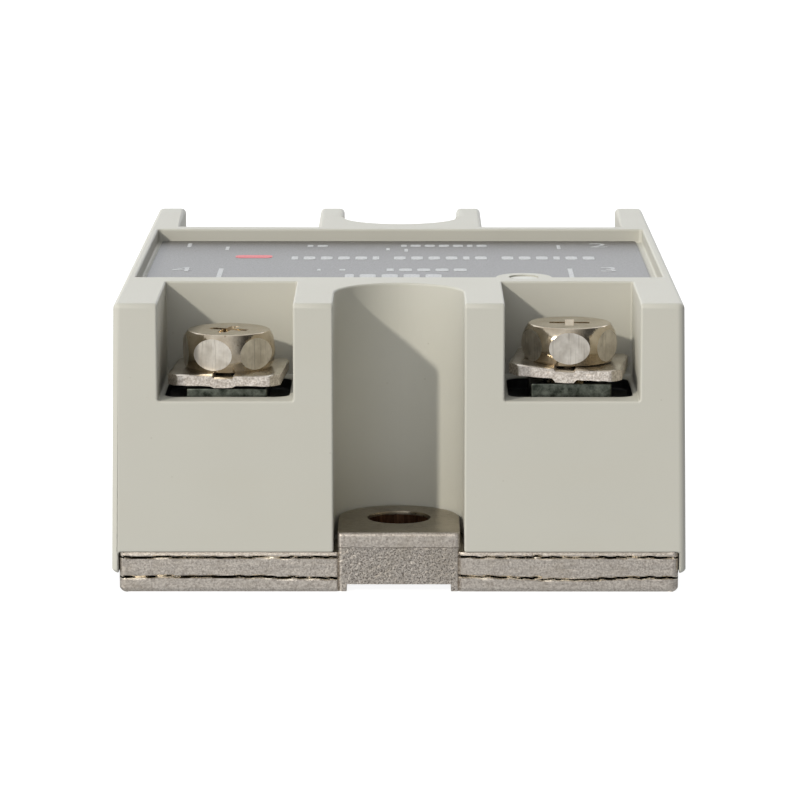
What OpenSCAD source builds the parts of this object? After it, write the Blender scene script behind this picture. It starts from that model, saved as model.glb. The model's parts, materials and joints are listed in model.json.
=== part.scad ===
// Solid state relay, panel mount. Origin at the middle of the underside,
// +X to the right, +Y along the length from the control end to the load end, +Z up.

/* [Housing] */
// Width across the flat top
top_w = 45; // [44:0.1:46]
// Width across the side lips, below the draft of the side walls
body_w = 45.7; // [45.2:0.1:46.4]
// Length from end to end
body_l = 60; // [59:0.5:62]
// Height over everything
body_h = 23.2; // [22.8:0.1:24]
// Thickness of the outer walls
wall = 2; // [1.6:0.1:2.2]
// Height of the pocket floors
floor_z = 15.4; // [15.2:0.1:15.6]
// Depth of the label recess below the top
recess_depth = 1.2; // [0.8:0.1:1.4]

/* [Base plate] */
// Width of the plate
plate_w = 44.5; // [43.5:0.1:44.6]
// Thickness of the plate where the housing stands on it
plate_t = 3.2; // [3:0.1:3.4]
// Thickness of the mounting tabs and of the raised middle
tab_t = 4.8; // [4.4:0.1:5]
// Width of the relief under the end of each tab
relief_w = 8.4; // [8:0.1:9]
// Length of the relief, inwards from the end
relief_l = 3.4; // [0.6:0.1:3.4]
// Height of the relief
relief_h = 0.6; // [0.4:0.1:0.8]
// Distance between the two mounting holes
hole_spacing = 47.6; // [47:0.1:48]
// Diameter of the mounting holes
hole_d = 5; // [4.4:0.1:5]
// Half width of the notches in the housing
notch_r = 5.2; // [5.1:0.05:5.3]

/* [Terminals] */
// Sideways distance of each terminal from the middle
terminal_x = 13.7; // [13.5:0.1:13.9]
// Width of a control pocket
control_pocket_w = 10.7; // [10.6:0.1:11]
// Depth of a control pocket from the end face
control_pocket_l = 12.3; // [12.2:0.1:12.5]
// Width of a load pocket
load_pocket_w = 12.6; // [11:0.1:12.8]
// Depth of a load pocket from the end face
load_pocket_l = 13.6; // [13:0.1:13.8]
// Width of a terminal strip
terminal_w = 6.4; // [5.6:0.1:6.6]
// Thickness of a terminal strip
terminal_t = 1.6; // [1.2:0.1:1.8]
// Height of the upper face of the terminal strips
terminal_z = 16; // [15.8:0.1:16.2]

/* [Fasteners] */
// Nominal diameter of the terminal screws
screw_d = 4; // [3.5:0.5:4]
// Length of the shank below the head
screw_l = 8; // [7:0.5:8]
// Width across the flats of the head
head_af = 7; // [6.5:0.1:7]
// Height of the head
head_h = 3; // [2.6:0.1:3.2]
// Side of the square clamp plates
clamp_w = 9; // [8.4:0.1:9.2]
// Thickness of the clamp plates
clamp_t = 0.9; // [0.8:0.05:1]

/* [Hidden] */
$fn = 64;

eps = 0.01;             // overshoot of a cutting shape
gap = 0.1;              // clearance between pieces that are only laid together
end_y = body_l / 2;
hole_y = hole_spacing / 2;
corner_r = 0.6;
edge = 0.5;             // bevel along the edges of the top

// Terminals 1 and 2 are at the load end, 3 and 4 at the control end; 1 and 4 are on the left.
function side(n) = (n == 1 || n == 4) ? -1 : 1;
function far(n) = n <= 2;
function turn(n) = far(n) ? 180 : 0;
control_screw_in = 6.8; // screw axis from the end face
load_screw_in = 7.4;
function screw_in(n) = far(n) ? load_screw_in : control_screw_in;
function screw_y(n) = (far(n) ? 1 : -1) * (end_y - screw_in(n));
function pocket_w(n) = far(n) ? load_pocket_w : control_pocket_w;
function pocket_l(n) = far(n) ? load_pocket_l : control_pocket_l;
// How far each clamp plate stands off its strip on its rib, and how each fastener is turned
clamp_lift = [0.4, 0.2, 0.75, 0.2];
clamp_yaw = [3, -4, -7, -3.6];
head_yaw = [11, -24, -2, -19];
function clamp_z(n) = terminal_z + clamp_lift[n - 1];
function head_z(n) = clamp_z(n) + clamp_t;

// The hollow of the housing
low_top = 12.4;         // under the pocket floors
high_top = 20.4;        // between the pockets
inner_x = 20.6;
inner_y = end_y - wall;
pocket_back = 1.9;      // wall behind a pocket
well_r = 2.6;           // room for the end of a screw
well_z = 8;
boss_r = 3.9;
boss_z = 6.8;
recess_w = 43.4;
recess_front = -15.25;
recess_back = 14.9;
lip_z = 1.5;            // lower edge of the side lips
pipe_r = 1.2;
pipe_x = 10.25;
pipe_y = -15.1;
lamp_boss_r = 2.35;

// The circuit board
board_z = 9;
board_t = 1.6;
board_top = board_z + board_t;
board_w = 39;
board_front = -18.6;
board_back = 9.6;

// The power stage on the plate
ceramic_t = 0.64;
copper_t = 0.3;
chip_t = 0.4;
copper_z = tab_t + ceramic_t;
chip_z = copper_z + copper_t;
clip_z = chip_z + chip_t;
clip_t = 0.6;
chip_w = 7;
chip_x = 8.5;
chip_y = [5, -3.5];
potting_z = 8.2;
leg_w = 4;
leg_t = 1.2;
gate_r = 0.4;

// A rectangle with round corners, about the origin
module round_rect(w, l, r) {
    square([w, l - 2 * r], center = true);
    square([w - 2 * r, l], center = true);
    for (x = [-1, 1], y = [-1, 1])
        translate([x * (w / 2 - r), y * (l / 2 - r)]) circle(r);
}

// A U about a mounting hole, open towards the end of the body at -Y, with past = how far it runs out
module notch_shape(r, past) {
    translate([0, -hole_y]) circle(r);
    translate([-r, -end_y - past]) square([2 * r, end_y - hole_y + past]);
}

// A bar along X between two points of the y-z plane
module bar_x(x0, x1, y0, y1, z0, z1) {
    translate([x0, y0, z0]) cube([x1 - x0, y1 - y0, z1 - z0]);
}

module at_ends() {
    children();
    rotate(180) children();
}

// Puts a child that is drawn for an end face at y = 0, inwards along +Y, at terminal n
module at_terminal(n) {
    translate([side(n) * terminal_x, far(n) ? end_y : -end_y]) rotate(turn(n)) children();
}

module housing_outside() {
    intersection() {
        rotate([90, 0, 0])
            linear_extrude(body_l, center = true)
                polygon([[-body_w / 2, lip_z], [body_w / 2, lip_z],
                    [top_w / 2, body_h - edge], [top_w / 2 - edge, body_h],
                    [-top_w / 2 + edge, body_h], [-top_w / 2, body_h - edge]]);
        linear_extrude(body_h) round_rect(body_w, body_l, corner_r);
    }
}

module housing_hollow() {
    difference() {
        translate([0, 0, plate_t - eps])
            linear_extrude(low_top - plate_t + eps) difference() {
                square([2 * inner_x, 2 * inner_y], center = true);
                at_ends() notch_shape(notch_r + wall, 0);
            }
        for (n = [1:4])
            translate([side(n) * terminal_x, screw_y(n), boss_z]) cylinder(h = low_top, r = boss_r);
    }
    control_y = -end_y + control_pocket_l + pocket_back;
    load_y = end_y - load_pocket_l - pocket_back;
    bar_x(-inner_x, inner_x, control_y, load_y, low_top - eps, high_top);
}

module pocket_cut(n) {
    w = pocket_w(n);
    at_terminal(n) {
        bar_x(-w / 2, w / 2, -1, pocket_l(n), floor_z, body_h + 1);
        // Tray for the strip, with round corners, open to the pocket
        translate([0, 2.2 + (pocket_l(n) - 2.8) / 2, terminal_z - terminal_t])
            linear_extrude(floor_z) round_rect(9.9, pocket_l(n) - 2.8, 1.2);
        // Way of the strip through the wall behind the pocket
        bar_x(-leg_w / 2 - gap, leg_w / 2 + gap, pocket_l(n) - 2, pocket_l(n) + 4,
            terminal_z - terminal_t, terminal_z + gap);
        translate([0, screw_in(n), well_z]) cylinder(h = body_h, r = well_r);
    }
}

module housing() {
    color("#C0BEB0") difference() {
        housing_outside();
        housing_hollow();
        bar_x(-plate_w / 2 - 0.05, plate_w / 2 + 0.05, -end_y - 1, end_y + 1, 0, plate_t);
        at_ends() linear_extrude(body_h + 1) notch_shape(notch_r, 1);
        for (n = [1:4]) pocket_cut(n);
        difference() {
            bar_x(-recess_w / 2, recess_w / 2, recess_front, recess_back,
                body_h - recess_depth, body_h + 1);
            translate([pipe_x, pipe_y, 0]) cylinder(h = body_h + 2, r = lamp_boss_r);
        }
        translate([pipe_x, pipe_y, board_top]) cylinder(h = body_h, r = pipe_r + 0.05);
    }
}

module base_plate() {
    color("#B5AFA5") difference() {
        union() {
            linear_extrude(plate_t) round_rect(plate_w, body_l, corner_r);
            at_ends() linear_extrude(tab_t) intersection() {
                notch_shape(notch_r - 0.3, 0);
                square([plate_w, body_l], center = true);
            }
            linear_extrude(tab_t) difference() {
                square([2 * inner_x - 0.3, 2 * inner_y - 0.3], center = true);
                at_ends() notch_shape(notch_r + wall + 0.15, 1);
            }
        }
        at_ends() translate([0, -hole_y, -1]) cylinder(h = tab_t + 2, d = hole_d);
        // Relief under the end of each tab
        at_ends() bar_x(-relief_w / 2, relief_w / 2, -end_y - 1, -end_y + relief_l, -1, relief_h);
    }
}

module label() {
    color("#2E2E30") difference() {
        bar_x(-21.3, 21.1, recess_front + 0.2, recess_back - 0.2,
            body_h - recess_depth, body_h - recess_depth + 0.15);
        translate([pipe_x, pipe_y, 0]) cylinder(h = body_h + 2, r = lamp_boss_r + 0.15);
    }
}

module light_pipe() {
    color("#D9D6CC") {
        translate([pipe_x, pipe_y, board_top + 1.3]) cylinder(h = body_h - board_top - 1.4, r = pipe_r);
    }
}

// A strip with a tapped hole that narrows to a tail through the wall, and then turns down to leg_z
module terminal(n, leg_z) {
    inside = pocket_l(n) + pocket_back + 0.3;
    color("#6F6E69") at_terminal(n) difference() {
        union() {
            bar_x(-terminal_w / 2, terminal_w / 2, 2.5, pocket_l(n) - 0.8,
                terminal_z - terminal_t, terminal_z);
            bar_x(-leg_w / 2, leg_w / 2, pocket_l(n) - 2, inside + leg_t,
                terminal_z - terminal_t, terminal_z);
            bar_x(-leg_w / 2, leg_w / 2, inside, inside + leg_t, leg_z, terminal_z);
        }
        translate([0, screw_in(n), 0]) cylinder(h = body_h, d = screw_d + 0.06);
    }
}

module terminal_1() terminal(1, chip_z);
module terminal_2() terminal(2, chip_z);
module terminal_3() terminal(3, board_z - 0.8);
module terminal_4() terminal(4, board_z - 0.8);

// A square plate with cut corners, a groove pressed in its top and a rib under it
module clamp(n) {
    cut = 0.8;
    groove_w = 1.7;
    groove_t = 0.4;
    half = clamp_w / 2;
    color("#BDB6AA")
    translate([side(n) * terminal_x, screw_y(n), clamp_z(n)])
    rotate(turn(n) + clamp_yaw[n - 1])
    difference() {
        union() {
            linear_extrude(clamp_t)
                polygon([[-half, -half + cut], [-half + cut, -half], [half - cut, -half],
                    [half, -half + cut], [half, half - cut], [half - cut, half],
                    [-half + cut, half], [-half, half - cut]]);
            bar_x(-groove_w / 2, groove_w / 2, -half, half, -clamp_lift[n - 1], eps);
        }
        bar_x(-groove_w / 2, groove_w / 2, -half - 1, half + 1, clamp_t - groove_t, clamp_t + 1);
        translate([0, 0, -1]) cylinder(h = clamp_t + 2, d = screw_d + 0.6);
    }
}

module clamp_1() clamp(1);
module clamp_2() clamp(2);
module clamp_3() clamp(3);
module clamp_4() clamp(4);

// A hexagon whose corners are turned off above and below, with a cross recess
module screw(n) {
    belly_r = 3.85;
    rim_r = 3.2;
    bevel_h = 0.8;
    cross_w = 0.9;
    cross_l = 3.8;
    cross_z = 1.2;
    shank_r = screw_d / 2 - 0.02;
    color("#C4BCAE")
    translate([side(n) * terminal_x, screw_y(n), head_z(n)])
    rotate(turn(n) + head_yaw[n - 1]) {
        difference() {
            intersection() {
                cylinder(h = head_h, r = head_af / sqrt(3), $fn = 6);
                rotate_extrude()
                    polygon([[0, 0], [rim_r, 0], [belly_r, bevel_h], [belly_r, head_h - bevel_h],
                        [rim_r, head_h], [0, head_h]]);
            }
            for (a = [45, 135]) rotate(a)
                translate([-cross_l / 2, -cross_w / 2, head_h - cross_z])
                    cube([cross_l, cross_w, cross_z + 1]);
        }
        translate([0, 0, -screw_l]) rotate_extrude()
            polygon([[0, 0], [shank_r - 0.4, 0], [shank_r, 0.4], [shank_r, screw_l + eps],
                [0, screw_l + eps]]);
    }
}

module screw_1() screw(1);
module screw_2() screw(2);
module screw_3() screw(3);
module screw_4() screw(4);

module circuit_board() {
    leg_in = control_pocket_l + pocket_back + 0.3;
    color("#3F6B4A") translate([0, 0, board_z]) linear_extrude(board_t) difference() {
        translate([-board_w / 2, board_front]) square([board_w, board_back - board_front]);
        translate([-notch_r - wall - 0.4, board_front - 1])
            square([2 * (notch_r + wall + 0.4), 3.4]);
        for (x = [-terminal_x, terminal_x])
            translate([x - leg_w / 2 - gap, -end_y + leg_in - gap])
                square([leg_w + 2 * gap, leg_t + 2 * gap]);
        for (i = [0, 1])
            translate([gate_x(i), chip_y[i]]) circle(gate_r + 0.05);
    }
}

// A moulded part with two rows of three legs that stand on the board
module optocoupler() {
    color("#E6E3DA") translate([0, -9, board_top]) {
        bar_x(-4.4, 4.4, -3.2, 3.2, 0.6, 4.1);
        for (x = [-2.54, 0, 2.54], s = [-1, 1])
            translate([x - 0.6, s * 3.8 - 0.6, 0]) cube([1.2, 1.2, 1.6]);
    }
}

// A resistor that lies along Y, held by its two bent wires
module resistor(x, y, body_r, body_len, tint) {
    wire_r = 0.35;
    reach = body_len / 2 + 1.2;
    color(tint) translate([x, y, board_top + body_r + 0.4]) {
        rotate([90, 0, 0]) cylinder(h = body_len, r = body_r, center = true);
        rotate([90, 0, 0]) cylinder(h = 2 * reach, r = wire_r, center = true);
        for (s = [-1, 1])
            translate([0, s * reach, -body_r - 0.4]) cylinder(h = body_r + 0.4, r = wire_r);
    }
}

module input_resistor() resistor(-11, -8, 1.2, 6.3, "#9FB7C9");
module gate_resistor() resistor(-16, 1.5, 1.2, 6.3, "#C9B48A");
module snubber_resistor() resistor(12.5, -5, 2.1, 9, "#B9C6B4");

module snubber_capacitor() {
    color("#B5473A") translate([0, 4.5, board_top]) {
        bar_x(-6.5, 6.5, -2.5, 2.5, 0.3, 8.8);
        for (x = [-5, 5]) translate([x, 0, 0]) cylinder(h = 0.6, r = 0.4);
    }
}

module indicator_lamp() {
    color("#E9E4C8") translate([pipe_x, pipe_y, board_top])
        bar_x(-1.3, 1.3, -0.8, 0.8, 0, 1.2);
}

module ceramic_insulator() {
    color("#EDEBE6") bar_x(-17, 17, -9, 15.2, tab_t, copper_z);
}

module copper_pads() {
    color("#B87548") for (s = [-1, 1])
        bar_x(min(s * 1, s * 16.2), max(s * 1, s * 16.2), -8.2, 14.6, copper_z, chip_z);
}

function chip_side(i) = i == 0 ? -1 : 1;
function gate_x(i) = chip_side(i) * (chip_x + 2.7);

module thyristor(i) {
    color("#7C8088")
        translate([chip_side(i) * chip_x - chip_w / 2, chip_y[i] - chip_w / 2, chip_z])
            cube([chip_w, chip_w, chip_t]);
}

module thyristor_1() thyristor(0);
module thyristor_2() thyristor(1);

// A strap from the top of a chip to the pad of the other side
module cathode_clip(i) {
    far_x = 3.6;
    near_x = chip_x + 1.8;
    strap_w = 4.4;
    color("#C07F52") mirror([i == 0 ? 0 : 1, 0, 0]) {
        bar_x(-near_x, far_x, chip_y[i] - strap_w / 2, chip_y[i] + strap_w / 2,
            clip_z, clip_z + clip_t);
        bar_x(far_x - clip_t, far_x, chip_y[i] - strap_w / 2, chip_y[i] + strap_w / 2,
            chip_z, clip_z + eps);
    }
}

module cathode_clip_1() cathode_clip(0);
module cathode_clip_2() cathode_clip(1);

module gate_leads() {
    color("#C8C6BE") for (i = [0, 1])
        translate([gate_x(i), chip_y[i], clip_z]) cylinder(h = board_top + 0.6 - clip_z, r = gate_r);
}

module potting_compound() {
    leg_in = load_pocket_l + pocket_back + 0.3;
    color("#3A3A3C") difference() {
        translate([0, 0, tab_t]) linear_extrude(potting_z - tab_t) difference() {
            square([2 * inner_x, 2 * inner_y], center = true);
            at_ends() notch_shape(notch_r + wall, 1);
        }
        for (n = [1:4])
            translate([side(n) * terminal_x, screw_y(n), boss_z]) cylinder(h = low_top, r = boss_r);
        // Room for the power stage, its leads and the load legs
        bar_x(-17, 17, -9, 15.2, 0, clip_z + clip_t);
        for (i = [0, 1]) translate([gate_x(i), chip_y[i], 0]) cylinder(h = body_h, r = gate_r + 0.05);
        for (s = [-1, 1])
            bar_x(s * terminal_x - leg_w / 2 - gap, s * terminal_x + leg_w / 2 + gap,
                end_y - leg_in - leg_t - gap, end_y - leg_in + gap, 0, body_h);
    }
}

housing();
base_plate();
label();
light_pipe();
terminal_1();
terminal_2();
terminal_3();
terminal_4();
clamp_1();
clamp_2();
clamp_3();
clamp_4();
screw_1();
screw_2();
screw_3();
screw_4();
circuit_board();
optocoupler();
input_resistor();
gate_resistor();
snubber_resistor();
snubber_capacitor();
indicator_lamp();
ceramic_insulator();
copper_pads();
thyristor_1();
thyristor_2();
cathode_clip_1();
cathode_clip_2();
gate_leads();
potting_compound();
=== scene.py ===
import json
import math
import bpy
import bmesh
from mathutils import Vector, Matrix, noise


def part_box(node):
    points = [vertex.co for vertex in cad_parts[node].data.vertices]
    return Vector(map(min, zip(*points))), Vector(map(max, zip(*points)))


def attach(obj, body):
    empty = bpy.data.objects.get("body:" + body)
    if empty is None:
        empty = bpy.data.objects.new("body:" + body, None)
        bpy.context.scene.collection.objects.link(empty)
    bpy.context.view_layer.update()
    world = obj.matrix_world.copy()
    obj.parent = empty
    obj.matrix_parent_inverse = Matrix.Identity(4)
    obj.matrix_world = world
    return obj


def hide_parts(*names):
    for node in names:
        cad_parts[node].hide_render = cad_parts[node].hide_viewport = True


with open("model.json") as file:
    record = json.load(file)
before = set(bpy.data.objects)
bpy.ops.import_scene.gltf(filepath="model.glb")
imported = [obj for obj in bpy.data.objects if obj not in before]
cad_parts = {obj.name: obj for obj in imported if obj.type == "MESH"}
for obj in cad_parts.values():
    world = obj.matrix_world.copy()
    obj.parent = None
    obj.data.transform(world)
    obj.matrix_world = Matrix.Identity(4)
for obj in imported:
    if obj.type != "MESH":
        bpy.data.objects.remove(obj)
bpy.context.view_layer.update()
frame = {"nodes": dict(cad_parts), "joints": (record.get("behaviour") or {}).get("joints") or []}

mm = 0.001


def pickNone():  # back to object mode with nothing selected
    if bpy.context.object and bpy.context.object.mode != "OBJECT":
        bpy.ops.object.mode_set(mode="OBJECT")
    bpy.ops.object.select_all(action="DESELECT")


def pickOnly(piece):
    pickNone()
    piece.select_set(True)
    bpy.context.view_layer.objects.active = piece


def settle(piece):  # the object goes back to the origin, its place stays in the mesh
    pickOnly(piece)
    bpy.ops.object.transform_apply(location=True, rotation=True, scale=True)


def addBlock(name, low, high):  # a cube between two corners given in mm
    pickNone()
    middle = [(a + b) / 2 * mm for a, b in zip(low, high)]
    bpy.ops.mesh.primitive_cube_add(size=1, location=middle)
    piece = bpy.context.object
    piece.name = name
    piece.scale = [(b - a) * mm for a, b in zip(low, high)]
    settle(piece)
    return piece


def addRod(name, x, y, z0, z1, radius, sides=96):  # an upright cylinder, in mm
    pickNone()
    bpy.ops.mesh.primitive_cylinder_add(
        vertices=sides, radius=radius * mm, depth=(z1 - z0) * mm,
        location=(x * mm, y * mm, (z0 + z1) / 2 * mm))
    piece = bpy.context.object
    piece.name = name
    settle(piece)
    return piece


def editPick(piece, kind, test):  # enters edit mode with the faces or edges that pass the test
    pickOnly(piece)
    bpy.ops.object.mode_set(mode="EDIT")
    bpy.ops.mesh.select_mode(type=kind)
    bpy.ops.mesh.select_all(action="DESELECT")
    shape = bmesh.from_edit_mesh(piece.data)
    for part in (shape.faces if kind == "FACE" else shape.edges):
        if test(part):
            part.select_set(True)
    bmesh.update_edit_mesh(piece.data)


def leaveEdit():
    bpy.ops.object.mode_set(mode="OBJECT")


def along(edge, axis):  # the edge runs along that axis
    run = edge.verts[1].co - edge.verts[0].co
    return abs(run[axis]) > 0.999 * run.length


def atLevel(edge, axis, level):  # both ends lie at that level, in mm
    return all(abs(v.co[axis] / mm - level) < 0.003 for v in edge.verts)


def roundEdges(piece, test, width, steps=1):
    editPick(piece, "EDGE", test)
    bpy.ops.mesh.bevel(offset=width * mm, segments=steps, profile=0.5, affect="EDGES")
    leaveEdit()


def useModifier(piece, kind, **settings):
    pickOnly(piece)
    made = piece.modifiers.new(kind.lower(), kind)
    for key, value in settings.items():
        setattr(made, key, value)
    bpy.ops.object.modifier_apply(modifier=made.name)


def carve(piece, tool, how="DIFFERENCE"):  # boolean with a tool that is used up
    useModifier(piece, "BOOLEAN", object=tool, operation=how, solver="EXACT")
    bpy.data.objects.remove(tool)


def softEdges(piece, width, steps=3, angle=40):  # rounds every edge sharper than the angle
    useModifier(piece, "BEVEL", width=width * mm, segments=steps, limit_method="ANGLE",
                angle_limit=math.radians(angle), miter_outer="MITER_ARC", use_clamp_overlap=False)


def shadeByAngle(piece, angle=35):  # big flat faces keep their own normal, rounded edges blend
    pickOnly(piece)
    bpy.ops.object.shade_smooth_by_angle(angle=math.radians(angle))
    useModifier(piece, "WEIGHTED_NORMAL", mode="FACE_AREA", weight=80, keep_sharp=True)


def copyOf(piece, name):
    twin = piece.copy()
    twin.data = piece.data.copy()
    twin.name = name
    bpy.context.collection.objects.link(twin)
    return twin


def moveMesh(piece, shift=(0, 0, 0), turnDeg=0):  # turns about Z, then shifts, all in the mesh
    place = Matrix.Translation([s * mm for s in shift]) @ Matrix.Rotation(math.radians(turnDeg), 4, "Z")
    piece.data.transform(place)
    piece.data.update()


def grainAt(x, y, z, size, seed=0.0):  # smooth noise from -1 to 1, size in mm
    return noise.noise(Vector((x / size + seed, y / size - seed, z / size + 2 * seed)))


def fixNormals(piece):  # welds doubled points, then turns all faces outwards
    editPick(piece, "FACE", lambda f: True)
    bpy.ops.mesh.remove_doubles(threshold=0.000001)
    bpy.ops.mesh.normals_make_consistent(inside=False)
    leaveEdit()


def handIn(piece, body, finish, slotName, *nodes):  # material, body and CAD nodes of a finished piece
    piece.data.materials.clear()
    piece.data.materials.append(finish)
    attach(piece, body)
    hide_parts(*nodes)


def linear(hexColour):  # sRGB hex to the linear values that shaders use
    parts = [int(hexColour[i:i + 2], 16) / 255 for i in (1, 3, 5)]
    return [c / 12.92 if c <= 0.04045 else ((c + 0.055) / 1.055) ** 2.4 for c in parts] + [1.0]


def addNode(tree, kind, settings=None, **inputs):  # an input is a value or another node's socket
    node = tree.nodes.new(kind)
    for key, value in (settings or {}).items():
        setattr(node, key, value)
    for key, value in inputs.items():
        numbered = key[0] == "i" and key[1:].isdigit()
        socket = node.inputs[int(key[1:]) if numbered else key.replace("_", " ")]
        if isinstance(value, bpy.types.NodeSocket):
            tree.links.new(value, socket)
        else:
            socket.default_value = value
    return node


def newMaterial(name, **shader):
    made = bpy.data.materials.new(name)
    made.use_nodes = True
    tree = made.node_tree
    surface = tree.nodes["Principled BSDF"]
    for key, value in shader.items():
        surface.inputs[key.replace("_", " ")].default_value = value
    place = addNode(tree, "ShaderNodeTexCoord").outputs["Object"]
    return made, tree, surface, place


def perMetre(sizeMm):  # noise scale for a pattern whose grain is that many mm
    return 1 / (sizeMm * mm)


def blendColours(tree, share, first, second):
    return addNode(tree, "ShaderNodeMix", {"data_type": "RGBA"}, i0=share, i6=first, i7=second).outputs[2]


def grade(tree, value, low, high, toLow, toHigh):  # maps a range of a pattern to another
    return addNode(tree, "ShaderNodeMapRange", None, i0=value, i1=low, i2=high, i3=toLow,
                   i4=toHigh).outputs[0]


def bumpFrom(tree, height, reachMm, strength=1.0, under=None):
    made = addNode(tree, "ShaderNodeBump", None, Height=height, Distance=reachMm * mm, Strength=strength)
    if under is not None:
        tree.links.new(under, made.inputs["Normal"])
    return made.outputs["Normal"]


def stretched(tree, place, x, y, z):  # the same pattern drawn out along an axis
    return addNode(tree, "ShaderNodeMapping", None, Vector=place, Scale=(x, y, z)).outputs[0]


# Flame-retardant ABS, injection moulded in a spark-eroded tool: a matt grain that catches soft light
def mouldedAbs():
    made, tree, surface, place = newMaterial("mouldedAbs", Roughness=0.5, IOR=1.53)
    grain = addNode(tree, "ShaderNodeTexNoise", None, Vector=place, Scale=perMetre(0.16), Detail=3.0,
                    Roughness=0.6)
    cloud = addNode(tree, "ShaderNodeTexNoise", None, Vector=place, Scale=perMetre(9.0), Detail=2.0)
    flow = addNode(tree, "ShaderNodeTexNoise", None, Vector=stretched(tree, place, 1, 1, 5),
                   Scale=perMetre(14.0), Detail=3.0)
    base = blendColours(tree, cloud.outputs["Fac"], linear("#B9B6A9"), linear("#C0BDB1"))
    tinted = blendColours(tree, grade(tree, flow.outputs["Fac"], 0.35, 0.65, 0.0, 0.35), base,
                          linear("#BCBAAF"))
    speck = addNode(tree, "ShaderNodeTexVoronoi", {"feature": "F1"}, Vector=place, Scale=perMetre(1.9))
    dirt = grade(tree, speck.outputs["Distance"], 0.02, 0.05, 0.35, 0.0)
    clean = blendColours(tree, dirt, tinted, linear("#96917F"))
    # painted shade: the four trays are coloured near-black where shadow falls in them
    trayShade = addNode(tree, "ShaderNodeAttribute", {"attribute_name": "painted_tray_shade"}).outputs["Fac"]
    tree.links.new(blendColours(tree, trayShade, clean, linear("#14130F")), surface.inputs["Base Color"])
    tree.links.new(grade(tree, grain.outputs["Fac"], 0.3, 0.7, 0.5, 0.62), surface.inputs["Roughness"])
    tree.links.new(bumpFrom(tree, grain.outputs["Fac"], 0.02, 0.35), surface.inputs["Normal"])
    return made


# Nickel-plated steel plate, rolled: satin, with a faint long grain and soft cloudy stains
def platedSteel():
    made, tree, surface, place = newMaterial("platedSteel", Metallic=1.0, Roughness=0.3)
    rolled = addNode(tree, "ShaderNodeTexNoise", None, Vector=stretched(tree, place, 1, 12, 12),
                     Scale=perMetre(1.2), Detail=4.0)
    cloud = addNode(tree, "ShaderNodeTexNoise", None, Vector=place, Scale=perMetre(5.0), Detail=3.0)
    fine = addNode(tree, "ShaderNodeTexNoise", None, Vector=place, Scale=perMetre(0.12), Detail=2.0)
    base = blendColours(tree, grade(tree, cloud.outputs["Fac"], 0.35, 0.65, 0.0, 1.0), linear("#918776"),
                        linear("#A89E8C"))
    tree.links.new(blendColours(tree, grade(tree, rolled.outputs["Fac"], 0.4, 0.7, 0.0, 0.35), base,
                                linear("#736749")), surface.inputs["Base Color"])
    tree.links.new(grade(tree, rolled.outputs["Fac"], 0.3, 0.7, 0.24, 0.42), surface.inputs["Roughness"])
    tree.links.new(bumpFrom(tree, fine.outputs["Fac"], 0.012, 0.4), surface.inputs["Normal"])
    return made


# The same steel where it was sheared: a torn, granular edge that the thin plating only half covers
def shearedSteel():
    made, tree, surface, place = newMaterial("shearedSteel", Metallic=1.0, Roughness=0.5)
    torn = addNode(tree, "ShaderNodeTexNoise", None, Vector=place, Scale=perMetre(0.16), Detail=5.0,
                   Roughness=0.7)
    pits = addNode(tree, "ShaderNodeTexVoronoi", {"feature": "F1"}, Vector=place, Scale=perMetre(0.42))
    streak = addNode(tree, "ShaderNodeTexNoise", None, Vector=place, Scale=perMetre(2.2), Detail=3.0)
    base = blendColours(tree, grade(tree, torn.outputs["Fac"], 0.32, 0.6, 0.0, 1.0), linear("#94897E"),
                        linear("#CDC5BA"))
    stained = blendColours(tree, grade(tree, streak.outputs["Fac"], 0.5, 0.75, 0.0, 0.35), base,
                           linear("#A29786"))
    # how strongly a tear line runs here; it drives a painted shadow in the line and a painted glint beside
    # it
    tearShadeAndGlint = addNode(tree, "ShaderNodeAttribute", {"attribute_name": "tearShadeAndGlint"}).outputs["Fac"]
    crumb = addNode(tree, "ShaderNodeTexNoise", None, Vector=place, Scale=perMetre(0.13), Detail=3.0,
                    Roughness=0.7)
    raggedTearShadow = addNode(tree, "ShaderNodeMath", {"operation": "MULTIPLY_ADD"}, i0=crumb.outputs["Fac"], i1=1.6,
                     i2=tearShadeAndGlint).outputs[0]
    # painted highlight: a pale glint along the edges of the tear lines
    glint = grade(tree, tearShadeAndGlint, 0.02, 0.14, 0.0, 0.7)
    # painted shade: dark specks in the pits of the tabs' torn faces
    coarse = addNode(tree, "ShaderNodeAttribute", {"attribute_name": "coarse"}).outputs["Fac"]
    pitShade = addNode(tree, "ShaderNodeMath", {"operation": "MULTIPLY"}, i0=coarse,
                      i1=grade(tree, crumb.outputs["Fac"], 0.5, 0.6, 0.05, 1.0)).outputs[0]
    lipped = blendColours(tree, glint, blendColours(tree, pitShade, stained, linear("#352E28")),
                          linear("#FFF4E0"))
    # painted shadow: the tear lines are coloured near-black, with ragged edges
    tree.links.new(blendColours(tree, grade(tree, raggedTearShadow, 1.12, 1.32, 0.0, 1.0), lipped, linear("#17140F")),
                   surface.inputs["Base Color"])
    tree.links.new(grade(tree, torn.outputs["Fac"], 0.3, 0.7, 0.38, 0.6), surface.inputs["Roughness"])
    rough = bumpFrom(tree, torn.outputs["Fac"], 0.05, 0.7)
    tree.links.new(bumpFrom(tree, pits.outputs["Distance"], 0.03, 0.4, rough), surface.inputs["Normal"])
    return made


# The wall of a punched hole, where the plating is thin and the steel has browned
def punchedBore():
    made, tree, surface, place = newMaterial("punchedBore", Metallic=1.0, Roughness=0.5)
    drag = addNode(tree, "ShaderNodeTexNoise", None, Vector=stretched(tree, place, 1, 1, 0.15),
                   Scale=perMetre(0.3), Detail=4.0)
    tone = blendColours(tree, grade(tree, drag.outputs["Fac"], 0.3, 0.7, 0.0, 1.0), linear("#2A1A12"),
                        linear("#6B4E3A"))
    tree.links.new(tone, surface.inputs["Base Color"])
    tree.links.new(bumpFrom(tree, drag.outputs["Fac"], 0.03, 0.5), surface.inputs["Normal"])
    return made


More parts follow.
